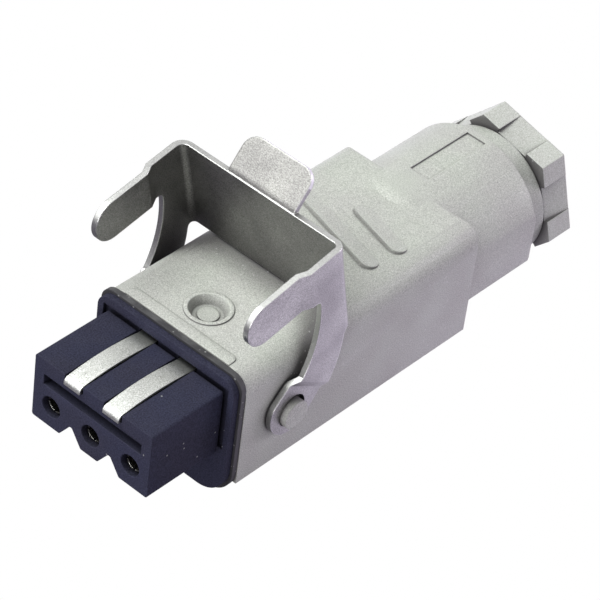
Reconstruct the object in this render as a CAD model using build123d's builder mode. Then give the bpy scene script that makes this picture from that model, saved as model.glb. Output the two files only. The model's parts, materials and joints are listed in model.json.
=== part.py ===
# Rectangular cable socket with three poles and earth, spring locking clip and gland nut.
# Lengths are in millimetres. X is the width, the mating face looks along -Y,
# the cable leaves along +Y, and Z is up from the underside of the housing.

import os
from math import atan, cos, radians, sin, tan

from build123d import *

os.makedirs("parts", exist_ok=True)

# Housing box
box_width = 27.5
box_length = 49.8
box_top = 22.7
box_top_radius = 3.8
rear_edge_radius = 1.2
side_edge_height = 2.9
belly_half_width = 10.4
belly_radius = 2.6
wall = 2.1
cavity_length = 44.5
cavity_radius = 1.2
mouth_lip_height = 0.15
mouth_lip_depth = 2.0
mouth_lip_half_width = 10.0

# Round rear body, neck and gland bore
gland_axis_height = 10.5
dome_radius = 13.1
dome_front = 41.6
dome_front_radius = 5.6
body_end = 66.3
neck_length = 4.2
body_end_chamfer = 0.4
body_half_width = 12.2
body_edge_height = 6.4
barrel_radius = 10.9
land_height = 23.45
neck_radius = 10.8
rear_chamber_radius = 8.6
shoulder_start = 53.6
shoulder_end = 55.0
shoulder_hole_radius = 6.2
gland_bore_radius = 9.4

# Side pins that carry the locking clip
pin_y = 9.0
pin_z = 12.0
pin_radius = 2.3
pin_end = 15.9

# Marks and grips on the top of the housing
dial_y = 6.5
dial_rim_radius = 3.6
dial_radius = 3.0
dial_floor_radius = 2.3
dial_boss_radius = 1.6
dial_boss_height = 0.2
dial_depth = 1.2
dial_rim_height = 0.2
grip_skew = 15.5
grip_width = 2.9
grip_height = 0.65
grip_root = 1.4
first_grip_y = 31.95
first_grip_left = -9.6
first_grip_right = 9.1
second_grip_y = 37.75
second_grip_left = -1.7
second_grip_right = 9.6
label_start = 51.6
label_end = 64.8
label_width = 3.6
label_depth = 0.25

# Gasket and insert flange
gasket_thickness = 0.9
gasket_inset = 0.1
gasket_top_radius = 2.4
gasket_bottom_radius = 5.0
flange_front = -2.0
flange_inset = 0.5

# Insert nose
nose_half_width = 11.3
nose_bottom = 8.55
nose_top = 19.9
nose_front = -15.9
nose_edge_radius = 0.4
nose_groove_width = 0.8
nose_groove_depth = 0.7
nose_groove_bottom = 9.6
notch_x = 3.75
notch_half_width = 2.1
notch_depth = 2.9
slot_half_width = 9.45
slot_z = 16.4
slot_height = 1.8
slot_depth = 2.2

# Socket contacts
pole_pitch = 7.7
pole_z = 12.2
socket_radius = 1.45
socket_bore_radius = 1.2
socket_front = -15.0
socket_bore_end = -3.0
socket_slit = 0.35
socket_slit_end = -6.5
socket_hole_radius = 1.75

# Clamp terminals behind the contacts
pocket_front = 10.5
collar_start = 11.6
collar_grow = 0.4
block_end = 14.0
retainer_end = 17.0
terminal_end = 27.0
terminal_half_width = 2.8
terminal_bottom = 7.0
terminal_top = 14.7
terminal_fit = 0.12
wire_window_half_width = 1.8
wire_window_bottom = 9.0
wire_window_top = 13.5
wire_window_start = 18.2
plate_thickness = 0.9
plate_gap = 0.1
plate_lip = 1.6
screw_radius = 1.5
screw_head_radius = 2.35
screw_head_height = 1.4
screw_head_gap = 0.3
screw_slot_width = 0.6
screw_slot_depth = 0.7
screw_y = 22.6
thread_clearance = 0.05

# Retainer ribs between the terminals
rib_thickness = 1.0
rib_end = 26.0
shelf_bottom = 14.9
shelf_thickness = 0.5
retainer_fit = 0.15

# Earth spring and its terminal
strip_x = 3.75
strip_width = 3.1
strip_thickness = 0.45
strip_root_z = 19.65
strip_crown = 0.6
strip_tip_drop = 1.1
strip_lift = 0.1
tail_clearance = 0.15
strip_bend_radius = 0.9
channel_clearance = 0.2
channel_depth = 1.3
web_start = 3.0
web_end = 7.5
tail_half_width = 1.9
tail_end = 24.5
tail_z = 16.1
earth_block_start = 18.0
earth_block_end = 25.6
earth_block_half_width = 3.6
earth_block_bottom = 15.55
earth_block_top = 19.9
earth_tunnel_half_width = 2.1
earth_tunnel_top = 18.4
earth_screw_tip = 17.9
earth_screw_top = 20.1
earth_screw_y = 21.8

# Cable seal and gland nut
grommet_end = 61.4
grommet_radius = 9.1
grommet_bore_radius = 4.1
washer_thickness = 0.8
washer_bore_radius = 5.2
nut_across_flats = 22.0
nut_gap = 0.4
nut_length = 5.2
nut_sides = 6
nut_turn = 46.6
nut_bore_radius = 5.4
nut_mouth_radius = 7.2
nut_mouth_depth = 1.8
nut_shank_radius = 9.2
nut_shank_end = 62.3
nut_recess_depth = 0.65
nut_recess_rear_depth = 0.05
nut_recess_share = 0.46

# Stamped locking clip
sheet = 0.9
clip_inner = 14.75
clip_bend_radius = 1.9
arm_reach = 24.0
joggle_depth = 0.75
joggle_run = 1.5
finger_joggle = 7.2
clip_lean = 13.5
bridge_top = 39.25
bridge_bottom = 23.15
bridge_y = 15.6
bridge_corner_radius = 1.2
arm_crest_y = 13.4
finger_lean = 11.5
finger_radius = 3.5
finger_tip_y = 0.75
finger_tip_z = 33.15
throat_y = 11.3
throat_radius = 0.9
leg_waist_y = 11.8
leg_waist_z = 25.2
leg_foot_y = 9.7
leg_foot_z = 18.3
heel_y = 7.7
heel_z = 17.3
heel_radius = 1.3
leg_rear_y = 17.6
leg_hip_y = 17.1
leg_hip_z = 18.2
leg_back_y = 15.4
leg_back_z = 13.9
lug_y = 8.95
lug_z = 12.6
lug_radius = 4.3
lug_lean = 31.0
lug_back_angle = 45.0
lug_crease = 3.9
lug_joggle_run = 1.2
hinge_clearance = 0.1
hinge_slot_rise = 0.5
hinge_slot_angle = 60.0
tab_half_width = 6.25
tab_length = 6.3
tab_angle = 50.0
tab_root = 3.0
tab_corner_radius = 2.4
tab_bend_radius = 1.4

half_box = box_width / 2
cavity_half_width = half_box - wall
cavity_top = box_top - wall
cavity_bottom = side_edge_height + wall
dome_crest = gland_axis_height + dome_radius
gland_axis = Axis((0, 0, gland_axis_height), (0, 1, 0))


def facing_rear(y):
    """A plane across the part at station y, looking toward the cable."""
    return Plane(origin=(0, y, 0), x_dir=(-1, 0, 0), z_dir=(0, 1, 0))


def slab(half_width, bottom, top, x=0.0):
    """A rectangle in a cross section, given by its half width and its two heights."""
    with Locations((-x, bottom)):
        Rectangle(2 * half_width, top - bottom, align=(Align.CENTER, Align.MIN))


# Dome: a turned body with a round front, cut to flat sides
with BuildPart() as dome:
    with BuildSketch(Plane.YZ) as dome_half:
        with BuildLine():
            Polyline((dome_front, gland_axis_height), (dome_front, dome_crest),
                     (body_end - body_end_chamfer, dome_crest),
                     (body_end, dome_crest - body_end_chamfer),
                     (body_end, gland_axis_height), close=True)
        make_face()
        front_corner = dome_half.vertices().group_by(Axis.X)[0].sort_by(Axis.Y)[-1]
        fillet(front_corner, dome_front_radius)
    revolve(axis=gland_axis)
    with BuildSketch(facing_rear(dome_front)):
        slab(body_half_width, body_edge_height, land_height)
    extrude(amount=body_end - dome_front, mode=Mode.INTERSECT)

# Housing: one moulding with box, rear body, neck, pins, grips and bores
with BuildPart() as housing:
    with BuildSketch(facing_rear(0)) as box_section:
        slab(half_box, side_edge_height, box_top)
        fillet(box_section.vertices().group_by(Axis.Y)[-1], box_top_radius)
    extrude(amount=box_length)
    with BuildSketch(Plane.YZ) as box_side:
        Rectangle(box_length, box_top, align=(Align.MIN, Align.MIN))
        fillet(box_side.vertices().sort_by_distance((box_length, box_top))[0], rear_edge_radius)
    extrude(amount=half_box, both=True, mode=Mode.INTERSECT)
    with BuildSketch(facing_rear(0)) as belly_section:
        slab(belly_half_width, 0, box_top - box_top_radius)
        fillet(belly_section.vertices().group_by(Axis.Y)[0], belly_radius)
    extrude(amount=box_length)
    add(dome.part)

    # Barrel under the rear body and the neck behind it
    with BuildSketch(facing_rear(cavity_length)):
        with Locations((0, gland_axis_height)):
            Circle(barrel_radius)
    extrude(amount=body_end - cavity_length)
    with BuildSketch(facing_rear(body_end)):
        with Locations((0, gland_axis_height)):
            Circle(neck_radius)
    extrude(amount=neck_length)

    # Cavity for the insert and the wires
    with BuildSketch(facing_rear(0)) as cavity_section:
        slab(cavity_half_width, cavity_bottom, cavity_top)
        slab(belly_half_width - wall, wall, cavity_top)
        fillet(cavity_section.vertices(), cavity_radius)
    extrude(amount=cavity_length, mode=Mode.SUBTRACT)
    with BuildSketch(facing_rear(cavity_length)):
        with Locations((0, gland_axis_height)):
            Circle(rear_chamber_radius)
    extrude(amount=shoulder_start - cavity_length, mode=Mode.SUBTRACT)

    # Shoulder hole and the bore for the seal and the nut
    with BuildSketch(facing_rear(shoulder_start)):
        with Locations((0, gland_axis_height)):
            Circle(shoulder_hole_radius)
    extrude(amount=shoulder_end - shoulder_start, mode=Mode.SUBTRACT)
    with BuildSketch(facing_rear(shoulder_end)):
        with Locations((0, gland_axis_height)):
            Circle(gland_bore_radius)
    extrude(amount=body_end + neck_length - shoulder_end, mode=Mode.SUBTRACT)

    # Side pins
    for side in (-1, 1):
        with BuildSketch(Plane(origin=(side * (half_box - wall / 2), 0, 0), x_dir=(0, side, 0),
                               z_dir=(side, 0, 0))):
            with Locations((side * pin_y, pin_z)):
                Circle(pin_radius)
        extrude(amount=pin_end - half_box + wall / 2)

    # Lip round the mouth on the top
    with BuildSketch(Plane.XY.offset(box_top)) as lip:
        Rectangle(2 * mouth_lip_half_width, mouth_lip_depth, align=(Align.CENTER, Align.MIN))
        fillet(lip.vertices().group_by(Axis.Y)[-1], mouth_lip_depth / 2)
    extrude(amount=mouth_lip_height)

    # Round mark on the top
    with Locations((0, dial_y, box_top - dial_depth)):
        Cylinder(dial_rim_radius, dial_depth + dial_rim_height,
                 align=(Align.CENTER, Align.CENTER, Align.MIN))
        Cone(dial_floor_radius, dial_radius, dial_depth + dial_rim_height,
             align=(Align.CENTER, Align.CENTER, Align.MIN), mode=Mode.SUBTRACT)
        Cylinder(dial_boss_radius, dial_boss_height, align=(Align.CENTER, Align.CENTER, Align.MIN))

    # Two skewed grip bars, high at the front and fading to the rear
    skew = radians(grip_skew)
    slope = atan(grip_height / grip_width)
    for line_y, left, right in ((first_grip_y, first_grip_left, first_grip_right),
                                (second_grip_y, second_grip_left, second_grip_right)):
        middle_x = (left + right) / 2
        middle_y = line_y - middle_x * tan(skew)
        bar_plane = Plane(
            origin=(middle_x + grip_width / 2 * sin(skew), middle_y + grip_width / 2 * cos(skew),
                    box_top + grip_height / 2),
            x_dir=(cos(skew), -sin(skew), 0),
            z_dir=(sin(slope) * sin(skew), sin(slope) * cos(skew), cos(slope)))
        with BuildSketch(bar_plane):
            SlotOverall((right - left) / cos(skew), grip_width)
        extrude(amount=-grip_root)

    # Blank label recess on the crest
    with BuildSketch(Plane.XY.offset(land_height)):
        with Locations((0, (label_start + label_end) / 2)):
            Rectangle(label_width, label_end - label_start)
    extrude(amount=-label_depth, mode=Mode.SUBTRACT)

# Gasket between housing and insert flange
with BuildPart() as gasket:
    with BuildSketch(facing_rear(-gasket_thickness)) as gasket_section:
        slab(half_box - gasket_inset, gasket_inset, box_top - gasket_inset)
        fillet(gasket_section.vertices().group_by(Axis.Y)[-1], gasket_top_radius)
        fillet(gasket_section.vertices().group_by(Axis.Y)[0], gasket_bottom_radius)
        with Locations((0, cavity_bottom)):
            Rectangle(2 * cavity_half_width, cavity_top - cavity_bottom,
                      align=(Align.CENTER, Align.MIN), mode=Mode.SUBTRACT)
    extrude(amount=gasket_thickness)


block_half_width = cavity_half_width - retainer_fit
block_bottom = cavity_bottom + retainer_fit
block_top = cavity_top - retainer_fit
pole_x = (-pole_pitch, 0, pole_pitch)
pole_names = ("left", "middle", "right")

# Insert: flange, nose with three lobes, and the block inside the housing
with BuildPart() as insert:
    with BuildSketch(facing_rear(flange_front)) as flange_section:
        slab(half_box - flange_inset, flange_inset, box_top - flange_inset)
        fillet(flange_section.vertices().group_by(Axis.Y)[-1], gasket_top_radius)
        fillet(flange_section.vertices().group_by(Axis.Y)[0], gasket_bottom_radius)
    extrude(amount=-gasket_thickness - flange_front)
    with BuildSketch(facing_rear(nose_front)) as nose_section:
        slab(nose_half_width, nose_bottom, nose_top)
        for side in (-1, 1):
            with BuildLine():
                Polyline((side * notch_x - notch_half_width, nose_bottom),
                         (side * notch_x, nose_bottom + notch_depth),
                         (side * notch_x + notch_half_width, nose_bottom), close=True)
            make_face(mode=Mode.SUBTRACT)
        fillet(nose_section.vertices(), nose_edge_radius)
    extrude(amount=flange_front - nose_front)
    with BuildSketch(facing_rear(flange_front)) as groove_section:
        slab(nose_half_width + nose_groove_width, nose_groove_bottom, nose_top + nose_groove_width)
        add(nose_section.sketch, mode=Mode.SUBTRACT)
    extrude(amount=nose_groove_depth, mode=Mode.SUBTRACT)
    with BuildSketch(facing_rear(-gasket_thickness)) as block_section:
        slab(block_half_width, block_bottom, block_top)
        fillet(block_section.vertices(), cavity_radius)
    extrude(amount=block_end + gasket_thickness)

    # Cross slot in the front face
    with BuildSketch(facing_rear(nose_front)):
        slab(slot_half_width, slot_z - slot_height / 2, slot_z + slot_height / 2)
    extrude(amount=slot_depth, mode=Mode.SUBTRACT)

    # Holes for the contacts and pockets for their terminals
    with BuildSketch(facing_rear(nose_front)):
        with Locations(*[(x, pole_z) for x in pole_x]):
            Circle(socket_hole_radius)
    extrude(amount=pocket_front - nose_front, mode=Mode.SUBTRACT)
    with BuildSketch(facing_rear(pocket_front)):
        for x in pole_x:
            slab(terminal_half_width + terminal_fit, terminal_bottom - terminal_fit,
                 terminal_top + terminal_fit, x)
    extrude(amount=block_end - pocket_front, mode=Mode.SUBTRACT)
    with BuildSketch(facing_rear(collar_start - terminal_fit)):
        for x in pole_x:
            slab(terminal_half_width + collar_grow + terminal_fit,
                 terminal_bottom - collar_grow - terminal_fit,
                 terminal_top + collar_grow + terminal_fit, x)
    extrude(amount=block_end - collar_start + terminal_fit, mode=Mode.SUBTRACT)

    # Channels for the earth strips, the window behind them and the web pocket
    for side in (-1, 1):
        with BuildSketch(facing_rear(nose_front)):
            slab(strip_width / 2 + channel_clearance, nose_top - channel_depth, nose_top, side * strip_x)
        extrude(amount=web_start - nose_front, mode=Mode.SUBTRACT)
        with BuildSketch(facing_rear(flange_front)):
            slab(strip_width / 2 + channel_clearance, nose_top - channel_depth,
                 strip_root_z + strip_lift + channel_clearance, side * strip_x)
        extrude(amount=web_start - flange_front, mode=Mode.SUBTRACT)
    with BuildSketch(facing_rear(web_start - channel_clearance)):
        slab(strip_x + strip_width / 2 + channel_clearance, nose_top - channel_depth,
             block_top + channel_clearance)
    extrude(amount=block_end - web_start + channel_clearance, mode=Mode.SUBTRACT)
    with BuildSketch(facing_rear(web_end - channel_clearance)):
        slab(tail_half_width + tail_clearance, tail_z - strip_thickness - tail_clearance,
             nose_top - channel_depth)
    extrude(amount=block_end - web_end + channel_clearance, mode=Mode.SUBTRACT)


# Retainer: plate with windows, a shelf over the terminals and ribs between them
with BuildPart() as retainer:
    with BuildSketch(facing_rear(block_end)) as retainer_section:
        slab(block_half_width, block_bottom, block_top)
        fillet(retainer_section.vertices(), cavity_radius)
        for x in pole_x:
            with Locations((-x, terminal_bottom - terminal_fit)):
                Rectangle(2 * (terminal_half_width + terminal_fit),
                          terminal_top - terminal_bottom + 2 * terminal_fit,
                          align=(Align.CENTER, Align.MIN), mode=Mode.SUBTRACT)
        with Locations((0, shelf_bottom + shelf_thickness)):
            Rectangle(2 * (tail_half_width + channel_clearance), 2 * tail_half_width,
                      align=(Align.CENTER, Align.MIN), mode=Mode.SUBTRACT)
    extrude(amount=retainer_end - block_end)
    with BuildSketch(facing_rear(retainer_end)):
        for side in (-1, 1):
            slab(rib_thickness / 2, block_bottom, shelf_bottom + shelf_thickness, side * pole_pitch / 2)
        slab(pole_pitch / 2, shelf_bottom, shelf_bottom + shelf_thickness)
    extrude(amount=rib_end - retainer_end)


def socket_contact(x):
    """Turned socket with slit fingers and a square clamp body behind."""
    with BuildPart() as contact:
        with BuildSketch(facing_rear(socket_front)):
            with Locations((-x, pole_z)):
                Circle(socket_radius)
        extrude(amount=pocket_front + terminal_fit - socket_front)
        with BuildSketch(facing_rear(pocket_front + terminal_fit)):
            slab(terminal_half_width, terminal_bottom, terminal_top, x)
        extrude(amount=terminal_end - pocket_front - terminal_fit)
        with BuildSketch(facing_rear(collar_start)):
            slab(terminal_half_width + collar_grow, terminal_bottom - collar_grow,
                 terminal_top + collar_grow, x)
        extrude(amount=block_end - collar_start)

        # Bore for the plug pin, with two crossing slits
        with BuildSketch(facing_rear(socket_front)):
            with Locations((-x, pole_z)):
                Circle(socket_bore_radius)
        extrude(amount=socket_bore_end - socket_front, mode=Mode.SUBTRACT)
        with BuildSketch(facing_rear(socket_front)):
            with Locations((-x, pole_z)):
                Rectangle(socket_slit, 2 * socket_radius + socket_slit)
                Rectangle(2 * socket_radius + socket_slit, socket_slit)
        extrude(amount=socket_slit_end - socket_front, mode=Mode.SUBTRACT)

        # Wire window from the rear and the screw hole from below
        with BuildSketch(facing_rear(wire_window_start)):
            slab(wire_window_half_width, wire_window_bottom, wire_window_top, x)
        extrude(amount=terminal_end - wire_window_start, mode=Mode.SUBTRACT)
        with Locations((x, screw_y, terminal_bottom)):
            Cylinder(screw_radius + thread_clearance, wire_window_bottom - terminal_bottom,
                     align=(Align.CENTER, Align.CENTER, Align.MIN), mode=Mode.SUBTRACT)
    return contact


def terminal_screw(x):
    """Slotted screw that comes up from below and presses the plate on the wire."""
    head_top = terminal_bottom - screw_head_gap
    with BuildPart() as screw:
        with Locations((x, screw_y, head_top)):
            Cylinder(screw_radius, wire_window_bottom - head_top,
                     align=(Align.CENTER, Align.CENTER, Align.MIN))
            Cylinder(screw_head_radius, screw_head_height,
                     align=(Align.CENTER, Align.CENTER, Align.MAX))
        with Locations((x, screw_y, head_top - screw_head_height)):
            Box(2 * screw_head_radius, screw_slot_width, screw_slot_depth,
                align=(Align.CENTER, Align.CENTER, Align.MIN), mode=Mode.SUBTRACT)
    return screw


def pressure_plate(x):
    """Small plate with a turned up lip between screw and wire."""
    low = wire_window_bottom
    start = wire_window_start + plate_gap
    with BuildPart() as plate:
        with BuildSketch(Plane.YZ.offset(x - wire_window_half_width + plate_gap)):
            with BuildLine():
                Polyline((start, low), (terminal_end, low), (terminal_end, low + plate_thickness),
                         (start + plate_thickness, low + plate_thickness),
                         (start + plate_thickness, low + plate_lip), (start, low + plate_lip),
                         close=True)
            make_face()
        extrude(amount=2 * (wire_window_half_width - plate_gap))
    return plate


# Earth spring: two arched strips, a web joining them and a tail into the earth terminal
strip_rear_low = strip_root_z - strip_thickness
strip_tip = nose_front - strip_thickness
crown_y = (flange_front + nose_front) / 2
with BuildPart() as earth_spring:
    with BuildSketch(Plane.YZ) as strip_side:
        with BuildLine():
            ThreePointArc((flange_front, strip_root_z), (crown_y, strip_root_z + strip_crown),
                          (strip_tip, strip_root_z))
            Polyline((strip_tip, strip_root_z), (strip_tip, strip_root_z - strip_tip_drop),
                     (nose_front, strip_root_z - strip_tip_drop), (nose_front, strip_rear_low))
            ThreePointArc((nose_front, strip_rear_low), (crown_y, strip_rear_low + strip_crown),
                          (flange_front, strip_rear_low))
            Polyline((flange_front, strip_rear_low), (web_start, strip_rear_low),
                     (web_start, strip_root_z), (flange_front, strip_root_z))
        make_face()
        outer_bend = strip_side.vertices().sort_by_distance((strip_tip, strip_root_z))[0]
        fillet(outer_bend, strip_bend_radius)
        inner_bend = strip_side.vertices().sort_by_distance((nose_front, strip_rear_low))[0]
        fillet(inner_bend, strip_bend_radius - strip_thickness)
    extrude(amount=strip_x + strip_width / 2, both=True)
    with Locations((0, web_start, strip_root_z - strip_thickness)):
        Box(2 * strip_x - strip_width, 2 * (web_start - strip_tip), 4 * strip_thickness + 4 * strip_crown,
            mode=Mode.SUBTRACT)
    with Locations((0, web_start, strip_rear_low)):
        Box(2 * strip_x + strip_width, web_end - web_start, strip_thickness,
            align=(Align.CENTER, Align.MIN, Align.MIN))
    with BuildSketch(Plane.YZ):
        with BuildLine():
            Polyline((web_end, strip_root_z), (web_end + strip_thickness, strip_root_z),
                     (web_end + strip_thickness, tail_z), (tail_end, tail_z),
                     (tail_end, tail_z - strip_thickness), (web_end, tail_z - strip_thickness), close=True)
        make_face()
    extrude(amount=tail_half_width, both=True)

# Earth terminal: tunnel clamp over the tail, with a grub screw from above
with BuildPart() as earth_terminal:
    with BuildSketch(facing_rear(earth_block_start)):
        slab(earth_block_half_width, earth_block_bottom, earth_block_top)
        with Locations((0, tail_z - strip_thickness)):
            Rectangle(2 * earth_tunnel_half_width, earth_tunnel_top - tail_z + strip_thickness,
                      align=(Align.CENTER, Align.MIN), mode=Mode.SUBTRACT)
    extrude(amount=earth_block_end - earth_block_start)
    with Locations((0, earth_screw_y, earth_tunnel_top)):
        Cylinder(screw_radius + thread_clearance, earth_block_top - earth_tunnel_top,
                 align=(Align.CENTER, Align.CENTER, Align.MIN), mode=Mode.SUBTRACT)

with BuildPart() as earth_screw:
    with Locations((0, earth_screw_y, earth_screw_tip)):
        Cylinder(screw_radius, earth_screw_top - earth_screw_tip,
                 align=(Align.CENTER, Align.CENTER, Align.MIN))
    with Locations((0, earth_screw_y, earth_screw_top)):
        Box(2 * screw_radius, screw_slot_width, screw_slot_depth,
            align=(Align.CENTER, Align.CENTER, Align.MAX), mode=Mode.SUBTRACT)

# Sealing grommet and thrust washer in the gland bore
with BuildPart() as grommet:
    with BuildSketch(facing_rear(shoulder_end)):
        with Locations((0, gland_axis_height)):
            Circle(grommet_radius)
            Circle(grommet_bore_radius, mode=Mode.SUBTRACT)
    extrude(amount=grommet_end - shoulder_end)

with BuildPart() as thrust_washer:
    with BuildSketch(facing_rear(grommet_end)):
        with Locations((0, gland_axis_height)):
            Circle(grommet_radius)
            Circle(washer_bore_radius, mode=Mode.SUBTRACT)
    extrude(amount=washer_thickness)

# Gland nut: hexagon with a recess in every side, and a plain shank for the thread
side_angle = 360 / nut_sides
corner_radius = nut_across_flats / 2 / cos(radians(side_angle / 2))
nut_front = body_end + neck_length + nut_gap
nut_end = nut_front + nut_length
with BuildPart() as gland_nut:
    with BuildSketch(facing_rear(nut_front)):
        with Locations((0, gland_axis_height)):
            RegularPolygon(corner_radius, nut_sides, rotation=-nut_turn)
    extrude(amount=nut_length)
    flat = nut_across_flats / 2
    for index in range(nut_sides):
        turn = radians(side_angle * (index + 1 / 2) - nut_turn)
        with BuildSketch(Plane(origin=(0, nut_front, gland_axis_height), x_dir=(0, 1, 0),
                               z_dir=(sin(turn), 0, cos(turn)))):
            with BuildLine():
                Polyline((0, flat - nut_recess_depth), (nut_length, flat - nut_recess_rear_depth),
                         (nut_length, flat + nut_recess_depth), (0, flat + nut_recess_depth), close=True)
            make_face()
        extrude(amount=corner_radius * nut_recess_share / 2, both=True, mode=Mode.SUBTRACT)
    with BuildSketch(facing_rear(nut_shank_end)):
        with Locations((0, gland_axis_height)):
            Circle(nut_shank_radius)
    extrude(amount=nut_front - nut_shank_end)
    with BuildSketch(facing_rear(nut_shank_end)):
        with Locations((0, gland_axis_height)):
            Circle(nut_bore_radius)
    extrude(amount=nut_end - nut_shank_end, mode=Mode.SUBTRACT)
    chamfer(gland_nut.edges().filter_by(GeomType.CIRCLE).group_by(Axis.Y)[-1],
            length=nut_mouth_depth, length2=nut_mouth_radius - nut_bore_radius)

# Locking clip, side view: the outline that trims both arms
sin_lean = sin(radians(clip_lean))
cos_lean = cos(radians(clip_lean))
lug_turn = radians(lug_lean)
finger_turn = radians(finger_lean)
bridge_drop_y = bridge_y + (bridge_top - bridge_bottom) * tan(radians(clip_lean))
lug_front = (lug_y - lug_radius * cos(lug_turn), lug_z + lug_radius * sin(lug_turn))
lug_back = (lug_y + lug_radius * sin(radians(lug_back_angle)),
            lug_z - lug_radius * cos(radians(lug_back_angle)))
finger_low_y = finger_tip_y + finger_radius * sin(finger_turn)
finger_low_z = finger_tip_z - finger_radius * cos(finger_turn)
finger_high = (finger_tip_y - finger_radius * sin(finger_turn),
               finger_tip_z + finger_radius * cos(finger_turn))
throat_z = finger_low_z + (throat_y - finger_low_y) * tan(finger_turn)
with BuildSketch(Plane.YZ.offset(-2 * clip_inner)) as clip_side:
    with BuildLine():
        ThreePointArc(finger_high, (finger_tip_y - finger_radius * cos(finger_turn),
                                    finger_tip_z - finger_radius * sin(finger_turn)),
                      (finger_low_y, finger_low_z))
        Line((finger_low_y, finger_low_z), (throat_y, throat_z))
        ThreePointArc((throat_y, throat_z), (leg_waist_y, leg_waist_z), (leg_foot_y, leg_foot_z))
        Polyline((leg_foot_y, leg_foot_z), (heel_y, heel_z), lug_front)
        ThreePointArc(lug_front, (lug_y - lug_radius * sin(lug_turn), lug_z - lug_radius * cos(lug_turn)),
                      lug_back)
        Line(lug_back, (leg_back_y, leg_back_z))
        ThreePointArc((leg_back_y, leg_back_z), (leg_hip_y, leg_hip_z), (leg_rear_y, bridge_bottom))
        Polyline((leg_rear_y, bridge_bottom), (bridge_drop_y, bridge_bottom), (bridge_y, bridge_top),
                 (arm_crest_y, bridge_top), finger_high)
    make_face()
    throat = clip_side.vertices().sort_by_distance((throat_y, throat_z))[0]
    fillet(throat, throat_radius)
    heel = clip_side.vertices().sort_by_distance((heel_y, heel_z))[0]
    fillet(heel, heel_radius)
    bridge_corner = clip_side.vertices().sort_by_distance((leg_rear_y, bridge_bottom))[0]
    fillet(bridge_corner, bridge_corner_radius)

# Locking clip, section square to the bridge: U of sheet with inward joggles ahead of the leg
arm_outer = clip_inner + sheet
joggle_shift = sheet * tan(atan(joggle_depth / joggle_run) / 2)
bridge_plane = Plane(origin=(0, bridge_y, bridge_top), x_dir=(1, 0, 0), z_dir=(0, -sin_lean, cos_lean))
with BuildSketch(bridge_plane) as clip_plan:
    with BuildLine():
        Polyline((0, 0), (arm_outer, 0), (arm_outer, -finger_joggle - joggle_shift),
                 (arm_outer - joggle_depth, -finger_joggle - joggle_run - joggle_shift),
                 (arm_outer - joggle_depth, -arm_reach), (clip_inner - joggle_depth, -arm_reach),
                 (clip_inner - joggle_depth, -finger_joggle - joggle_run),
                 (clip_inner, -finger_joggle), (clip_inner, -sheet), (0, -sheet), close=True)
    make_face()
    outer_corner = clip_plan.vertices().sort_by_distance((arm_outer, 0))[0]
    fillet(outer_corner, clip_bend_radius)
    inner_corner = clip_plan.vertices().sort_by_distance((clip_inner, -sheet))[0]
    fillet(inner_corner, clip_bend_radius - sheet)
    mirror(about=Plane.YZ)

# Locking clip, section along the leg: sheet with an inward joggle above the lug
leg_along = (0, -sin(lug_turn), -cos(lug_turn))
leg_plane = Plane(origin=(0, lug_y, lug_z), x_dir=leg_along, z_dir=(0, -cos(lug_turn), sin(lug_turn)))
lug_shift = sheet * tan(atan(joggle_depth / lug_joggle_run) / 2)
with BuildSketch(leg_plane) as leg_section:
    with BuildLine():
        Polyline((-lug_crease - 2 * lug_joggle_run, arm_outer),
                 (-lug_crease - lug_joggle_run + lug_shift, arm_outer),
                 (-lug_crease + lug_shift, arm_outer - joggle_depth),
                 (2 * lug_radius, arm_outer - joggle_depth), (2 * lug_radius, clip_inner - joggle_depth),
                 (-lug_crease, clip_inner - joggle_depth), (-lug_crease - lug_joggle_run, clip_inner),
                 (-lug_crease - 2 * lug_joggle_run, clip_inner), close=True)
    make_face()
    mirror(about=Plane.XZ)

# Locking clip: lower legs with their lugs
with BuildPart() as clip_legs:
    extrude(leg_section.sketch, amount=2 * lug_radius, both=True)
    extrude(clip_side.sketch, amount=4 * clip_inner, mode=Mode.INTERSECT)

# Locking clip: bridge, arms and fingers, then legs, hinge holes and thumb tab
with BuildPart() as locking_clip:
    extrude(clip_plan.sketch, amount=2 * (bridge_top - bridge_bottom), both=True)
    extrude(clip_side.sketch, amount=4 * clip_inner, mode=Mode.INTERSECT)
    with BuildSketch(leg_plane):
        with Locations((-lug_crease - lug_joggle_run - sheet, 0)):
            Rectangle(4 * lug_radius, 4 * arm_outer, align=(Align.MIN, Align.CENTER))
    extrude(amount=4 * lug_radius, both=True, mode=Mode.SUBTRACT)
    add(clip_legs.part)
    with BuildSketch(Plane.YZ):
        with Locations((pin_y, pin_z)):
            Circle(pin_radius + hinge_clearance)
        with Locations((pin_y + hinge_slot_rise * cos(radians(hinge_slot_angle)),
                        pin_z + hinge_slot_rise * sin(radians(hinge_slot_angle)))):
            Circle(pin_radius + hinge_clearance)
    extrude(amount=2 * arm_outer, both=True, mode=Mode.SUBTRACT)

    # Thumb tab bent back from the top edge of the bridge
    tab_fold_y = bridge_y - sheet / 2 / cos_lean
    tab_height = tab_length * sin(radians(tab_angle))
    tab_reach = tab_length * cos(radians(tab_angle))
    with BuildLine(Plane.YZ) as tab_path:
        FilletPolyline(
            (tab_fold_y + tab_root * sin_lean, bridge_top - tab_root * cos_lean),
            (tab_fold_y, bridge_top), (tab_fold_y + tab_reach, bridge_top + tab_height),
            radius=tab_bend_radius)
    with BuildSketch(Plane(origin=tab_path.line @ 0, x_dir=(1, 0, 0), z_dir=tab_path.line % 0)):
        Rectangle(2 * tab_half_width, sheet)
    sweep(path=tab_path.line)
    tab_corners = locking_clip.edges().filter_by(
        lambda edge: edge.center().Z > bridge_top + tab_height - sheet
        and abs(edge.center().X) > tab_half_width - sheet)
    fillet(tab_corners, tab_corner_radius)

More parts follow.
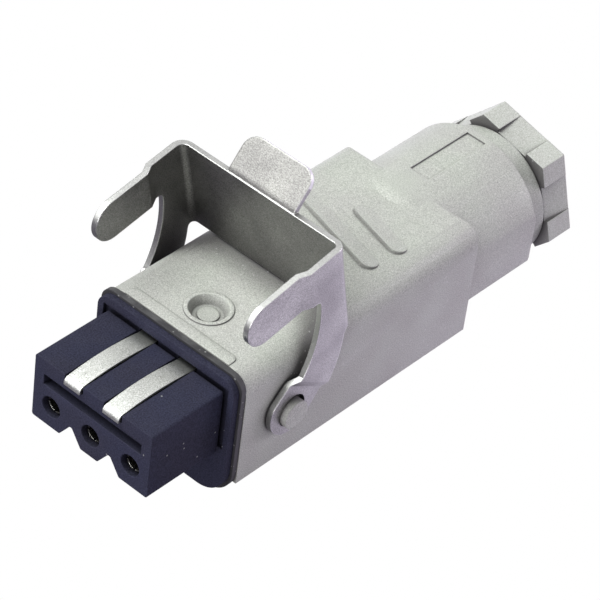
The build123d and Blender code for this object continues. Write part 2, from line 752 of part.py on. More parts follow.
# Every piece by its name, moved so that the origin is below the middle of the whole part
pieces = {
    "housing": housing, "flange_gasket": gasket, "contact_insert": insert, "contact_retainer": retainer,
    "earth_spring": earth_spring, "earth_terminal": earth_terminal, "earth_screw": earth_screw,
    "sealing_grommet": grommet, "thrust_washer": thrust_washer, "gland_nut": gland_nut,
    "locking_clip": locking_clip,
}
for place, pole_name in zip(pole_x, pole_names):
    pieces[f"socket_contact_{pole_name}"] = socket_contact(place)
    pieces[f"terminal_screw_{pole_name}"] = terminal_screw(place)
    pieces[f"pressure_plate_{pole_name}"] = pressure_plate(place)

middle_y = (strip_tip + nut_end) / 2
lowest_z = gland_axis_height - corner_radius * sin(radians(2 * side_angle - nut_turn))
for name, builder in pieces.items():
    piece = builder.part.moved(Location((0, -middle_y, -lowest_z)))
    piece.label = name
    export_step(piece, f"parts/{name}.step")
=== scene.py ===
# Looks of the cable socket: finished pieces, materials, studio and camera.
# Lengths are in metres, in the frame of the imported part.

import json
import math

import bmesh
import bpy
from mathutils import Matrix, Vector


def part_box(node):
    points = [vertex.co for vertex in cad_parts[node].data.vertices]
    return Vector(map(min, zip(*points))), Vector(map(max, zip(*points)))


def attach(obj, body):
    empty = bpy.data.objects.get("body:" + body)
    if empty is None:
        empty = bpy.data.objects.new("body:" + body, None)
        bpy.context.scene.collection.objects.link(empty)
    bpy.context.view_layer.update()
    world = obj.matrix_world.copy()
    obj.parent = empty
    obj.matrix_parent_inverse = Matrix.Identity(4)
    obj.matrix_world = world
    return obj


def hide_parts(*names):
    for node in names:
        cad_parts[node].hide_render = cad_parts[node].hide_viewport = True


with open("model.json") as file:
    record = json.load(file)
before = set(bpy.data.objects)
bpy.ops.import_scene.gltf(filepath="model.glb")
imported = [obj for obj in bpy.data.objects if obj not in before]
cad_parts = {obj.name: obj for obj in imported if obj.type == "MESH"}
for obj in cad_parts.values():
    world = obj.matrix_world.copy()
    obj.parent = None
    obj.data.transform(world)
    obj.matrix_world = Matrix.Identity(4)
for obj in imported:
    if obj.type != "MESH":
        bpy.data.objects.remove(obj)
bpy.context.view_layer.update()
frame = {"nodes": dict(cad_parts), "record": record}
mm = 0.001
print("frame loaded,", len(frame["nodes"]), "nodes")


# A node with its settings, whose inputs take plain values or links from other sockets
def makeNode(tree, kind, values=None, **settings):
    made = tree.nodes.new(kind)
    for key, value in settings.items():
        setattr(made, key, value)
    for key, value in (values or {}).items():
        if isinstance(value, bpy.types.NodeSocket):
            tree.links.new(value, made.inputs[key])
        else:
            made.inputs[key].default_value = value
    return made


# An empty shader group with named sockets: the tree, its input sockets and its output sockets
def makeGroup(name, inputs, outputs):
    tree = bpy.data.node_groups.new(name, "ShaderNodeTree")
    for label, value in inputs.items():
        socket = tree.interface.new_socket(label, in_out="INPUT", socket_type="NodeSocketFloat")
        socket.default_value = value
    for label, kind in outputs.items():
        tree.interface.new_socket(label, in_out="OUTPUT", socket_type=kind)
    return tree, tree.nodes.new("NodeGroupInput").outputs, tree.nodes.new("NodeGroupOutput").inputs


def useGroup(tree, group, values):
    return makeNode(tree, "ShaderNodeGroup", values, node_tree=group).outputs


def mathNode(tree, operation, first, second):
    return makeNode(tree, "ShaderNodeMath", {0: first, 1: second}, operation=operation).outputs[0]


def vectorNode(tree, operation, first, second):
    return makeNode(tree, "ShaderNodeVectorMath", {0: first, 1: second}, operation=operation).outputs


def mixColor(tree, factor, first, second, blend="MIX"):
    made = makeNode(tree, "ShaderNodeMix", {0: factor}, data_type="RGBA", blend_type=blend)
    for index, value in ((6, first), (7, second)):
        if isinstance(value, bpy.types.NodeSocket):
            tree.links.new(value, made.inputs[index])
        else:
            made.inputs[index].default_value = (*value, 1.0)
    return made.outputs[2]


# A value stretched so that low gives 0 and high gives 1
def ramp(tree, value, low, high):
    return makeNode(tree, "ShaderNodeMapRange", {0: value, 1: low, 2: high}, clamp=True).outputs[0]


# Grain of a moulded or rolled surface: its fine height, a slow tone over the piece, and tiny pits
grainPattern = {
    "detail": 3.0, "cloudScale": 140.0, "cloudDetail": 4.0, "cloudRange": (0.35, 0.65),
    "fleckScale": 1500.0, "fleckRange": (0.16, 0.05), "shadeRange": (0.2, 0.8),
}
grainGroup, source, target = makeGroup(
    "fineGrain", {"Grain Size": 0.2 * mm, "Stretch": 1.0},
    {"Height": "NodeSocketFloat", "Tone": "NodeSocketFloat", "Fleck": "NodeSocketFloat"},
)
place = makeNode(grainGroup, "ShaderNodeTexCoord").outputs["Object"]
pitch = mathNode(grainGroup, "DIVIDE", 1.0, source["Grain Size"])
longPitch = mathNode(grainGroup, "DIVIDE", pitch, source["Stretch"])
pitches = makeNode(grainGroup, "ShaderNodeCombineXYZ", {"X": longPitch, "Y": pitch, "Z": pitch})
stretched = vectorNode(grainGroup, "MULTIPLY", place, pitches.outputs[0])[0]
fine = makeNode(grainGroup, "ShaderNodeTexNoise", {
    "Vector": stretched, "Scale": 1.0, "Detail": grainPattern["detail"]})
cloud = makeNode(grainGroup, "ShaderNodeTexNoise", {
    "Vector": place, "Scale": grainPattern["cloudScale"], "Detail": grainPattern["cloudDetail"]})
fleck = makeNode(grainGroup, "ShaderNodeTexVoronoi", {"Vector": place, "Scale": grainPattern["fleckScale"]})
tone = ramp(grainGroup, cloud.outputs[0], *grainPattern["cloudRange"])
pits = ramp(grainGroup, fleck.outputs["Distance"], *grainPattern["fleckRange"])
grainGroup.links.new(fine.outputs[0], target["Height"])
grainGroup.links.new(tone, target["Tone"])
grainGroup.links.new(pits, target["Fleck"])

# Rounded edges: the softened normal, and a mask that is 1 on an edge, which the materials use for wear and
# for a painted highlight
edgePattern = {"samples": 6, "matchRange": (0.995, 0.8)}
edgeGroup, source, target = makeGroup(
    "edgeWearAndHighlight", {"Radius": 0.3 * mm}, {"Edge": "NodeSocketFloat", "Normal": "NodeSocketVector"},
)
softened = makeNode(
    edgeGroup, "ShaderNodeBevel", {"Radius": source["Radius"]}, samples=edgePattern["samples"],
).outputs[0]
surface = makeNode(edgeGroup, "ShaderNodeNewGeometry").outputs["Normal"]
match = vectorNode(edgeGroup, "DOT_PRODUCT", softened, surface)["Value"]
edgeGroup.links.new(ramp(edgeGroup, match, *edgePattern["matchRange"]), target["Edge"])
edgeGroup.links.new(softened, target["Normal"])

# Dust: a film in uneven patches on faces that look up, and single specks on every face
dustPattern = {
    "facingRange": (0.1, 0.9), "patchScale": 420.0, "patchDetail": 5.0, "patchRange": (0.45, 0.7),
    "speckScale": 2400.0, "speckRange": (0.45, 0.2), "speckShare": 0.06,
}
dustGroup, source, target = makeGroup(
    "settledDust", {"Amount": 0.3}, {"Film": "NodeSocketFloat", "Specks": "NodeSocketFloat"},
)
place = makeNode(dustGroup, "ShaderNodeTexCoord").outputs["Object"]
surface = makeNode(dustGroup, "ShaderNodeNewGeometry").outputs["Normal"]
facing = makeNode(dustGroup, "ShaderNodeSeparateXYZ", {0: surface}).outputs[2]
patch = makeNode(dustGroup, "ShaderNodeTexNoise", {
    "Vector": place, "Scale": dustPattern["patchScale"], "Detail": dustPattern["patchDetail"]})
speck = makeNode(dustGroup, "ShaderNodeTexVoronoi", {"Vector": place, "Scale": dustPattern["speckScale"]})
upward = ramp(dustGroup, facing, *dustPattern["facingRange"])
settled = mathNode(dustGroup, "MULTIPLY", upward, source["Amount"])
patches = ramp(dustGroup, patch.outputs[0], *dustPattern["patchRange"])
chance = makeNode(dustGroup, "ShaderNodeSeparateColor", {0: speck.outputs["Color"]}).outputs[0]
share = mathNode(dustGroup, "MULTIPLY", source["Amount"], dustPattern["speckShare"])
chosen = mathNode(dustGroup, "LESS_THAN", chance, share)
dots = ramp(dustGroup, speck.outputs["Distance"], *dustPattern["speckRange"])
dustGroup.links.new(mathNode(dustGroup, "MULTIPLY", settled, patches), target["Film"])
dustGroup.links.new(mathNode(dustGroup, "MULTIPLY", chosen, dots), target["Specks"])
print("grain, edge and dust patterns ready")


# Another colour laid over this one where a mask is strong
def stain(tree, color, mask, strength, other):
    return mixColor(tree, mathNode(tree, "MULTIPLY", mask, strength), color, other)


# The fine height of the grain laid over a colour as lighter and darker spots
def grainy(tree, color, height, strength):
    shade = ramp(tree, height, *grainPattern["shadeRange"])
    grey = makeNode(tree, "ShaderNodeCombineColor", {0: shade, 1: shade, 2: shade}).outputs[0]
    return mixColor(tree, strength, color, grey, "OVERLAY")


# How much other surfaces within this distance shut a point in: 0 at opened, 1 at closed; the mask for painted
# shade
def sheltered(tree, distance, opened, closed, samples=8):
    sky = makeNode(tree, "ShaderNodeAmbientOcclusion", {"Distance": distance}, samples=samples)
    return ramp(tree, sky.outputs["AO"], opened, closed)


def startMaterial(name):
    material = bpy.data.materials.new(name)
    material.use_nodes = True
    tree = material.node_tree
    return material, tree, tree.nodes["Principled BSDF"]


def linkShader(tree, shader, color, rough, bump):
    tree.links.new(color, shader.inputs["Base Color"])
    tree.links.new(rough, shader.inputs["Roughness"])
    tree.links.new(bump.outputs[0], shader.inputs["Normal"])


# Moulded plastic: eroded grain, slow tone changes, soft edges lightened partly as wear and partly as a
# painted highlight, painted shade in creases and hollows, and a little dust
plasticFinish = {
    "toneShare": 0.35, "edgeShare": 0.5, "edgeGain": 1.12, "edgeLift": 0.01,
    "creaseRange": (0.85, 0.45), "hollowDepth": 0.47, "shadow": 0.2,
    "dustColor": (0.8, 0.8, 0.8), "filmShare": 0.06, "speckShare": 0.35,
    "polish": 0.06, "roughTone": 0.12,
}


def plastic(name, look):
    finish = plasticFinish
    material, tree, shader = startMaterial(name)
    grain = useGroup(tree, grainGroup, {"Grain Size": look["grainSize"]})
    edge = useGroup(tree, edgeGroup, {"Radius": look["edgeRadius"]})
    dust = useGroup(tree, dustGroup, {"Amount": look["dust"]})
    lighter = tuple(min(1.0, part * finish["edgeGain"] + finish["edgeLift"]) for part in look["base"])
    darker = tuple(part * finish["shadow"] for part in look["warm"])
    color = stain(tree, look["base"], grain["Tone"], finish["toneShare"], look["warm"])
    color = grainy(tree, color, grain["Height"], look["grain"])
    # Edges made lighter: partly wear, partly a painted highlight
    color = stain(tree, color, edge["Edge"], finish["edgeShare"], lighter)
    # Painted shade: darker in creases and in hollows that other surfaces shut in
    crease = sheltered(tree, look["crease"], *finish["creaseRange"])
    color = stain(tree, color, crease, look["paintedShade"], darker)
    hollow = sheltered(tree, look["hollow"], look["open"], look["open"] - finish["hollowDepth"])
    color = stain(tree, color, hollow, look["paintedShade"], darker)
    color = stain(tree, color, dust["Film"], finish["filmShare"], finish["dustColor"])
    color = stain(tree, color, dust["Specks"], finish["speckShare"], finish["dustColor"])
    uneven = mathNode(tree, "MULTIPLY", grain["Tone"], finish["roughTone"])
    rough = mathNode(tree, "ADD", look["rough"] - finish["polish"], uneven)
    bump = makeNode(tree, "ShaderNodeBump", {
        "Height": grain["Height"], "Distance": look["grainDepth"], "Normal": edge["Normal"]})
    linkShader(tree, shader, color, rough, bump)
    shader.inputs["Specular IOR Level"].default_value = look["shine"]
    return material


# Matt rubber with a fine skin and pale dust
rubberFinish = {
    "toneGain": 1.8, "filmColor": (0.4, 0.4, 0.4), "filmShare": 0.1,
    "speckColor": (0.7, 0.7, 0.7), "speckShare": 0.4, "roughGrain": 0.2,
}


def rubber(name, look):
    finish = rubberFinish
    material, tree, shader = startMaterial(name)
    grain = useGroup(tree, grainGroup, {"Grain Size": look["grainSize"]})
    dust = useGroup(tree, dustGroup, {"Amount": look["dust"]})
    lighter = tuple(part * finish["toneGain"] for part in look["base"])
    color = mixColor(tree, grain["Tone"], look["base"], lighter)
    color = stain(tree, color, dust["Film"], finish["filmShare"], finish["filmColor"])
    color = stain(tree, color, dust["Specks"], finish["speckShare"], finish["speckColor"])
    uneven = mathNode(tree, "MULTIPLY", grain["Height"], finish["roughGrain"])
    rough = mathNode(tree, "SUBTRACT", look["rough"], uneven)
    bump = makeNode(tree, "ShaderNodeBump", {"Height": grain["Height"], "Distance": look["grainDepth"]})
    linkShader(tree, shader, color, rough, bump)
    return material


# Rolled or turned metal: stretched grain, dull patches, pits, bright edges that are partly wear and partly a
# painted highlight, and painted shade where other surfaces shut it in
metalFinish = {
    "pitShade": 0.4, "edgeShare": 0.85, "shelterRange": (0.95, 0.3), "shadow": 0.35,
    "roughGrain": 0.22, "edgePolish": 0.12,
}


def sheetMetal(name, look):
    finish = metalFinish
    material, tree, shader = startMaterial(name)
    grain = useGroup(tree, grainGroup, {"Grain Size": look["grainSize"], "Stretch": look["streak"]})
    edge = useGroup(tree, edgeGroup, {"Radius": look["edgeRadius"]})
    pitted = tuple(part * finish["pitShade"] for part in look["dull"])
    darker = tuple(part * finish["shadow"] for part in look["dull"])
    color = mixColor(tree, grain["Tone"], look["base"], look["dull"])
    color = grainy(tree, color, grain["Height"], look["grain"])
    color = stain(tree, color, grain["Fleck"], look["grain"], pitted)
    # Edges made lighter: partly polish from wear, partly a painted highlight
    color = stain(tree, color, edge["Edge"], finish["edgeShare"], look["edge"])
    # Painted shade where other surfaces within the shelter distance shut the metal in
    shelter = sheltered(tree, look["shelter"], *finish["shelterRange"])
    color = stain(tree, color, shelter, look["paintedShade"], darker)
    uneven = mathNode(tree, "MULTIPLY", grain["Height"], finish["roughGrain"])
    worn = mathNode(tree, "MULTIPLY", edge["Edge"], finish["edgePolish"])
    rough = mathNode(tree, "ADD", look["rough"], uneven)
    rough = mathNode(tree, "SUBTRACT", rough, worn)
    bump = makeNode(tree, "ShaderNodeBump", {
        "Height": grain["Height"], "Distance": look["grainDepth"], "Normal": edge["Normal"]})
    linkShader(tree, shader, color, rough, bump)
    shader.inputs["Metallic"].default_value = 1.0
    return material


# Points within weld are joined, faces that turn less than flat are merged, and edges that turn more
# than sharp are rounded
skin = {"weld": 0.002 * mm, "flat": math.radians(0.5), "sharp": math.radians(30.0), "segments": 2}


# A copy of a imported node, merged to one skin with shaded curves and small rounded edges.
# mend moves its points first; pick chooses the faces that take the second material.
def coverNode(node, body, material, rounding, mend=None, pick=None, second=None):
    mesh = frame["nodes"][node].data.copy()
    mesh.materials.clear()
    mesh.materials.append(material)
    work = bmesh.new()
    work.from_mesh(mesh)
    if mend:
        mend(work)
    bmesh.ops.remove_doubles(work, verts=work.verts, dist=skin["weld"])
    bmesh.ops.dissolve_limit(work, angle_limit=skin["flat"], verts=work.verts, edges=work.edges)
    if pick:
        mesh.materials.append(second)
        for face in pick(work):
            face.material_index = 1
    work.to_mesh(mesh)
    work.free()
    mesh.shade_smooth()
    mesh.set_sharp_from_angle(angle=skin["sharp"])
    piece = bpy.data.objects.new(node + "_skin", mesh)
    bpy.context.scene.collection.objects.link(piece)
    edges = piece.modifiers.new("edges", "BEVEL")
    edges.width = rounding
    edges.segments = skin["segments"]
    edges.limit_method = "ANGLE"
    edges.angle_limit = skin["sharp"]
    edges.miter_outer = "MITER_ARC"
    edges.harden_normals = True
    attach(piece, body)
    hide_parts(node)


# Housing: a light grey moulding
housingLook = {
    "base": (0.50, 0.515, 0.475), "warm": (0.49, 0.46, 0.47), "rough": 0.55, "shine": 0.5,
    "grain": 0.52, "grainSize": 0.16 * mm, "grainDepth": 0.016 * mm, "edgeRadius": 0.35 * mm,
    "crease": 0.7 * mm, "hollow": 8.0 * mm, "open": 0.84, "paintedShade": 0.9, "dust": 0.35,
    "rounding": 0.06 * mm,
}
housingGrey = plastic("housingGrey", housingLook)
coverNode("housing", "plug_body", housingGrey, housingLook["rounding"])

# Gland nut: the same plastic, a little lighter, with a deeper painted shade in its gap
nutLook = {
    "base": (0.555, 0.57, 0.53), "warm": (0.545, 0.515, 0.525), "rough": 0.55, "shine": 0.5,
    "grain": 0.52, "grainSize": 0.16 * mm, "grainDepth": 0.016 * mm, "edgeRadius": 0.35 * mm,
    "crease": 1.2 * mm, "hollow": 10.0 * mm, "open": 0.96, "paintedShade": 0.95, "dust": 0.35,
    "rounding": 0.12 * mm,
}
nutGrey = plastic("nutGrey", nutLook)
coverNode("gland_nut", "plug_body", nutGrey, nutLook["rounding"])

# Contact insert and its retainer: matt blue-black plastic
insertLook = {
    "base": (0.030, 0.031, 0.056), "warm": (0.035, 0.032, 0.046), "rough": 0.66, "shine": 0.08,
    "grain": 0.6, "grainSize": 0.22 * mm, "grainDepth": 0.010 * mm, "edgeRadius": 0.22 * mm,
    "crease": 1.2 * mm, "hollow": 4.0 * mm, "open": 0.72, "paintedShade": 0.5, "dust": 0.07,
    "rounding": 0.08 * mm,
}
insertBlack = plastic("insertBlack", insertLook)
coverNode("contact_insert", "plug_body", insertBlack, insertLook["rounding"])

# Flange gasket and cable seal: rubber
sealLook = {
    "base": (0.020, 0.019, 0.022), "rough": 0.7, "grainSize": 0.18 * mm, "grainDepth": 0.02 * mm,
    "dust": 1.6, "gasketRounding": 0.06 * mm, "grommetRounding": 0.1 * mm,
}
sealRubber = rubber("sealRubber", sealLook)
coverNode("flange_gasket", "plug_body", sealRubber, sealLook["gasketRounding"])
coverNode("sealing_grommet", "plug_body", sealRubber, sealLook["grommetRounding"])

# Earth spring: nickel-plated strips
springLook = {
    "base": (0.62, 0.63, 0.605), "dull": (0.54, 0.545, 0.53), "edge": (0.88, 0.88, 0.88), "rough": 0.36,
    "grain": 0.8, "grainSize": 0.16 * mm, "grainDepth": 0.022 * mm, "streak": 1.0,
    "edgeRadius": 0.15 * mm, "shelter": 7.0 * mm, "paintedShade": 0.95, "rounding": 0.06 * mm,
}
springNickel = sheetMetal("springNickel", springLook)
coverNode("earth_spring", "plug_body", springNickel, springLook["rounding"])

# Locking clip: stamped stainless sheet, with a lighter finish on the faces where the stamp cut it
clipLook = {
    "base": (0.29, 0.288, 0.277), "dull": (0.21, 0.206, 0.202), "edge": (0.62, 0.62, 0.61), "rough": 0.30,
    "grain": 0.6, "grainSize": 0.16 * mm, "grainDepth": 0.012 * mm, "streak": 1.4,
    "edgeRadius": 0.36 * mm, "shelter": 8.0 * mm, "paintedShade": 0.4, "rounding": 0.1 * mm,
}
clipCutLook = {
    "base": (0.52, 0.52, 0.51), "dull": (0.44, 0.44, 0.435), "edge": (0.66, 0.67, 0.66), "rough": 0.24,
    "grain": 0.2, "grainSize": 0.2 * mm, "grainDepth": 0.008 * mm, "streak": 1.0,
    "edgeRadius": 0.2 * mm, "shelter": 9.0 * mm, "paintedShade": 0.95,
}
clipSheet = {"thick": 0.9 * mm, "edgeSlack": 0.06 * mm, "spanSlack": 0.09 * mm, "lean": 0.15}
clipLegs = {
    "low": 19.5 * mm, "high": 26.4 * mm, "front": -19.9 * mm, "rear": -18.0 * mm,
    "inner": 14.75 * mm, "middle": 14.82 * mm, "outer": 15.65 * mm,
}


# The legs stay flat from the fork down to the step above the lugs
def straightLegs(work):
    for vert in work.verts:
        reach = abs(vert.co.x)
        level = clipLegs["low"] < vert.co.z < clipLegs["high"]
        if level and clipLegs["front"] < vert.co.y < clipLegs["rear"] and reach < clipLegs["outer"]:
            reach = clipLegs["outer"] if reach > clipLegs["middle"] else clipLegs["inner"]
            vert.co.x = math.copysign(reach, vert.co.x)


# Faces between the two skins of the sheet: narrow, with two edges as long as the sheet is thick, or
# straight across an arm from skin to skin
def cutFaces(work):
    thick = clipSheet["thick"]
    work.normal_update()
    for face in work.faces:
        short = sum(abs(edge.calc_length() - thick) < clipSheet["edgeSlack"] for edge in face.edges)
        reach = [abs(vert.co.x) for vert in face.verts]
        spans = abs(max(reach) - min(reach) - thick) < clipSheet["spanSlack"]
        across = spans and abs(face.normal.x) < clipSheet["lean"]
        width = 2 * face.calc_area() / face.calc_perimeter()
        if width < thick and (short >= 2 or across):
            yield face


clipSteel = sheetMetal("clipSteel", clipLook)
clipEdge = sheetMetal("clipEdge", clipCutLook)
coverNode(
    "locking_clip", "clip_body", clipSteel, clipLook["rounding"],
    mend=straightLegs, pick=cutFaces, second=clipEdge,
)

# Socket contacts and earth terminal: turned metal, darkened as painted shade deep in the insert's holes, with
# bright edges as painted glints
contactLook = {
    "base": (0.34, 0.33, 0.30), "dull": (0.2, 0.19, 0.17), "edge": (0.8, 0.8, 0.76), "rough": 0.2,
    "grain": 0.2, "grainSize": 0.15 * mm, "grainDepth": 0.004 * mm, "streak": 1.0,
    "edgeRadius": 0.1 * mm, "shelter": 2.0 * mm, "paintedShade": 0.5, "rounding": 0.05 * mm,
}
contactMetal = sheetMetal("contactMetal", contactLook)
for pole in ("left", "middle", "right"):
    coverNode("socket_contact_" + pole, "plug_body", contactMetal, contactLook["rounding"])

# Thrust washer: pale slip plastic
washerLook = {
    "base": (0.62, 0.61, 0.57), "warm": (0.6, 0.58, 0.5), "rough": 0.35, "shine": 0.5,
    "grain": 0.25, "grainSize": 0.4 * mm, "grainDepth": 0.004 * mm, "edgeRadius": 0.1 * mm,
    "crease": 0.5 * mm, "hollow": 3.0 * mm, "open": 0.72, "paintedShade": 0.5, "dust": 0.2,
}
washerWhite = plastic("washerWhite", washerLook)

# Terminal screws, earth screw and pressure plates: bright steel
screwLook = {
    "base": (0.6, 0.6, 0.59), "dull": (0.45, 0.44, 0.4), "edge": (0.85, 0.85, 0.85), "rough": 0.3,
    "grain": 0.2, "grainSize": 0.15 * mm, "grainDepth": 0.004 * mm, "streak": 1.0,
    "edgeRadius": 0.1 * mm, "shelter": 2.0 * mm, "paintedShade": 0.5,
}
screwSteel = sheetMetal("screwSteel", screwLook)

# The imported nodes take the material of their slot, which shows on those that have no cover
slotMaterials = {
    "housing_grey": housingGrey, "insert_black": insertBlack, "seal_rubber": sealRubber,
    "washer_white": washerWhite, "clip_steel": clipSteel, "spring_nickel": springNickel,
    "contact_metal": contactMetal, "screw_steel": screwSteel,
}
for entry in frame["record"]["subparts"]:
    mesh = frame["nodes"][entry["node"]].data
    mesh.materials.clear()
    mesh.materials.append(slotMaterials[entry["material_slot"]])
print("pieces covered and materials ready")

# Raised rings round the cable hole of the seal, seen through the nut
sealRings = {
    "Count": 2, "First Radius": 4.42 * mm, "Spacing": 0.44 * mm, "Bead": 0.13 * mm,
    "Ring Points": 64, "Bead Points": 8,
}


def ringTree():
    tree = bpy.data.node_groups.new("sealRings", "GeometryNodeTree")
    for label, value in sealRings.items():
        kind = "NodeSocketInt" if isinstance(value, int) else "NodeSocketFloat"
        tree.interface.new_socket(label, in_out="INPUT", socket_type=kind)
    tree.interface.new_socket("Rings", in_out="OUTPUT", socket_type="NodeSocketGeometry")
    sizes = tree.nodes.new("NodeGroupInput").outputs
    starts = makeNode(tree, "GeometryNodeMeshLine", {"Count": sizes["Count"], "Offset": (0.0, 0.0, 0.0)})
    index = makeNode(tree, "GeometryNodeInputIndex").outputs[0]
    step = mathNode(tree, "MULTIPLY", index, sizes["Spacing"])
    radius = mathNode(tree, "ADD", sizes["First Radius"], step)
    scale = makeNode(tree, "ShaderNodeCombineXYZ", {"X": radius, "Y": radius, "Z": 1.0})
    ring = makeNode(tree, "GeometryNodeCurvePrimitiveCircle", {
        "Resolution": sizes["Ring Points"], "Radius": 1.0})
    rings = makeNode(tree, "GeometryNodeInstanceOnPoints", {
        "Points": starts.outputs[0], "Instance": ring.outputs[0], "Scale": scale.outputs[0]})
    rings = makeNode(tree, "GeometryNodeRealizeInstances", {"Geometry": rings.outputs[0]})
    bead = makeNode(tree, "GeometryNodeCurvePrimitiveCircle", {
        "Resolution": sizes["Bead Points"], "Radius": sizes["Bead"]})
    beads = makeNode(tree, "GeometryNodeCurveToMesh", {
        "Curve": rings.outputs[0], "Profile Curve": bead.outputs[0]})
    low, high = (Vector(corner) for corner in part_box("sealing_grommet"))
    middle = (low + high) / 2
    turned = makeNode(tree, "GeometryNodeTransform", {
        "Geometry": beads.outputs[0], "Translation": (middle.x, high.y, middle.z),
        "Rotation": (math.pi / 2, 0.0, 0.0)})
    smooth = makeNode(tree, "GeometryNodeSetShadeSmooth", {"Geometry": turned.outputs[0]})
    solid = makeNode(tree, "GeometryNodeRealizeInstances", {"Geometry": smooth.outputs[0]})
    finished = makeNode(tree, "GeometryNodeSetMaterial", {
        "Geometry": solid.outputs[0], "Material": sealRubber})
    tree.links.new(finished.outputs[0], tree.nodes.new("NodeGroupOutput").inputs[0])
    return tree


rings = bpy.data.objects.new("seal_rings", bpy.data.meshes.new("seal_rings"))
bpy.context.scene.collection.objects.link(rings)
maker = rings.modifiers.new("rings", "NODES")
maker.node_group = ringTree()
for item in maker.node_group.interface.items_tree:
    if item.in_out == "INPUT":
        maker[item.identifier] = sealRings[item.name]
ringMesh = bpy.data.meshes.new_from_object(rings.evaluated_get(bpy.context.evaluated_depsgraph_get()))
rings.modifiers.clear()
rings.data = ringMesh
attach(rings, "plug_body")
print("seal rings ready,", len(ringMesh.polygons), "faces")


# One shader for what the camera sees, one for what shiny faces mirror, and one for all other light
def splitByRay(tree, camera, mirror, other):
    path = makeNode(tree, "ShaderNodeLightPath").outputs
    mixed = makeNode(tree, "ShaderNodeMixShader", {
        0: path["Is Glossy Ray"], 1: other.outputs[0], 2: mirror.outputs[0]})
    mixed = makeNode(tree, "ShaderNodeMixShader", {
        0: path["Is Camera Ray"], 1: mixed.outputs[0], 2: camera.outputs[0]})
    return mixed.outputs[0]


# Floor: white to the camera, dusky in the light it throws back, and a lilac glow that only mirrors see,
# brighter to the rear
floorLook = {
    "shade": (0.30, 0.27, 0.32), "rough": 0.9, "reach": 2.5, "drop": 0.2 * mm,
    "mirrorTint": (0.88, 0.81, 1.0), "mirrorPower": (0.2, 1.7), "mirrorRange": (-0.03, 0.02),
    "mirrorLean": 0.6,
}


def floorMaterial():
    material, tree, shader = startMaterial("paleFloor")
    shader.inputs["Base Color"].default_value = (*floorLook["shade"], 1.0)
    shader.inputs["Roughness"].default_value = floorLook["rough"]
    white = makeNode(tree, "ShaderNodeEmission", {"Color": (1.0, 1.0, 1.0, 1.0), "Strength": 1.0})
    position = makeNode(tree, "ShaderNodeNewGeometry").outputs["Position"]
    place = makeNode(tree, "ShaderNodeSeparateXYZ", {0: position}).outputs
    lean = mathNode(tree, "MULTIPLY", place[0], floorLook["mirrorLean"])
    along = mathNode(tree, "ADD", place[1], lean)
    start, end = floorLook["mirrorRange"]
    darkest, brightest = floorLook["mirrorPower"]
    power = makeNode(tree, "ShaderNodeMapRange", {
        0: along, 1: start, 2: end, 3: darkest, 4: brightest}, clamp=True)
    shine = makeNode(tree, "ShaderNodeEmission", {
        "Color": (*floorLook["mirrorTint"], 1.0), "Strength": power.outputs[0]})
    seen = splitByRay(tree, white, shine, shader)
    tree.links.new(seen, tree.nodes["Material Output"].inputs["Surface"])
    return material


floorMesh = bpy.data.meshes.new("floor")
reach = floorLook["reach"]
corners = [(-reach, -reach, 0), (reach, -reach, 0), (reach, reach, 0), (-reach, reach, 0)]
floorMesh.from_pydata(corners, [], [(0, 1, 2, 3)])
floorMesh.materials.append(floorMaterial())
floor = bpy.data.objects.new("floor", floorMesh)
floor.location.z = -floorLook["drop"]
bpy.context.scene.collection.objects.link(floor)

# Soft lamps, all aimed at the middle of the part
lampAim = (0.0, 0.0, 0.015)
lamps = {
    "keyLight": {"place": (-0.28, -0.32, 0.82), "size": (0.7, 0.7), "power": 9.6, "tint": (0.97, 1.0, 0.96)},
    "glintLight": {"place": (-0.42, -0.60, 0.42), "size": (0.6, 0.5), "power": 1.25, "tint": (1.0, 1.0, 1.0)},
    "frontLight": {"place": (0.16, -0.66, 0.12), "size": (0.5, 0.2), "power": 1.8, "tint": (1.0, 1.0, 1.0)},
    "sideLight": {"place": (0.72, -0.2, 0.2), "size": (0.6, 0.4), "power": 0.125, "tint": (0.92, 0.8, 1.0)},
    "rearLight": {"place": (0.36, 0.8, 0.13), "size": (0.35, 0.2), "power": 2.8, "tint": (0.94, 0.84, 1.0)},
}
for name, lamp in lamps.items():
    light = bpy.data.lights.new(name, "AREA")
    light.shape = "RECTANGLE"
    light.size, light.size_y = lamp["size"]
    light.energy = lamp["power"]
    light.color = lamp["tint"]
    softbox = bpy.data.objects.new(name, light)
    softbox.location = lamp["place"]
    softbox.rotation_euler = (Vector(lampAim) - Vector(lamp["place"])).to_track_quat("-Z", "Y").to_euler()
    bpy.context.scene.collection.objects.link(softbox)

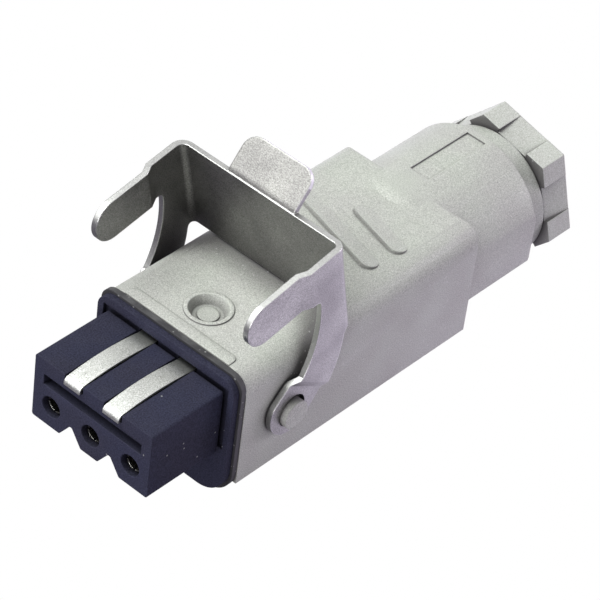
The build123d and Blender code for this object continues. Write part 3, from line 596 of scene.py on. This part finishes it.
# World: white to the camera and in mirrors, a weak fill for the rest
worldLook = {"fillTint": (0.95, 0.96, 1.0), "fill": 0.2, "mirror": 1.0}
world = bpy.data.worlds.new("studioWorld")
bpy.context.scene.world = world
world.use_nodes = True
tree = world.node_tree
tree.nodes.clear()
white = makeNode(tree, "ShaderNodeBackground", {"Color": (1.0, 1.0, 1.0, 1.0), "Strength": 1.0})
fill = makeNode(tree, "ShaderNodeBackground", {
    "Color": (*worldLook["fillTint"], 1.0), "Strength": worldLook["fill"]})
mirror = makeNode(tree, "ShaderNodeBackground", {
    "Color": (1.0, 1.0, 1.0, 1.0), "Strength": worldLook["mirror"]})
makeNode(tree, "ShaderNodeOutputWorld", {"Surface": splitByRay(tree, white, mirror, fill)})
print("floor, lamps and world ready")

# Camera solved from the photograph: angles in degrees, then distance, target, lens and frame shift
photoView = {
    "azimuth": 37.312, "elevation": 40.277, "roll": 7.875, "distance": 0.4693,
    "target": (0.0, -0.001356, 0.016848), "lens": 193.86, "sensor": 36.0,
    "shiftX": -0.01505, "shiftY": -0.02958, "near": 0.01, "far": 20.0,
}
azimuth, elevation, roll = (math.radians(photoView[key]) for key in ("azimuth", "elevation", "roll"))
flat = math.cos(elevation)
back = Vector((math.sin(azimuth) * flat, -math.cos(azimuth) * flat, math.sin(elevation)))
level = Vector((math.cos(azimuth), math.sin(azimuth), 0.0))
rise = back.cross(level)
right = level * math.cos(roll) + rise * math.sin(roll)
up = rise * math.cos(roll) - level * math.sin(roll)
lens = bpy.data.cameras.new("photoCamera")
lens.lens = photoView["lens"]
lens.sensor_width = photoView["sensor"]
lens.shift_x = photoView["shiftX"]
lens.shift_y = photoView["shiftY"]
lens.clip_start = photoView["near"]
lens.clip_end = photoView["far"]
camera = bpy.data.objects.new("photoCamera", lens)
turn = Matrix((right, up, back)).transposed().to_4x4()
camera.matrix_world = Matrix.Translation(Vector(photoView["target"]) + back * photoView["distance"]) @ turn
bpy.context.scene.collection.objects.link(camera)
bpy.context.scene.camera = camera
bpy.context.scene.view_settings.view_transform = "Standard"
print("camera ready")
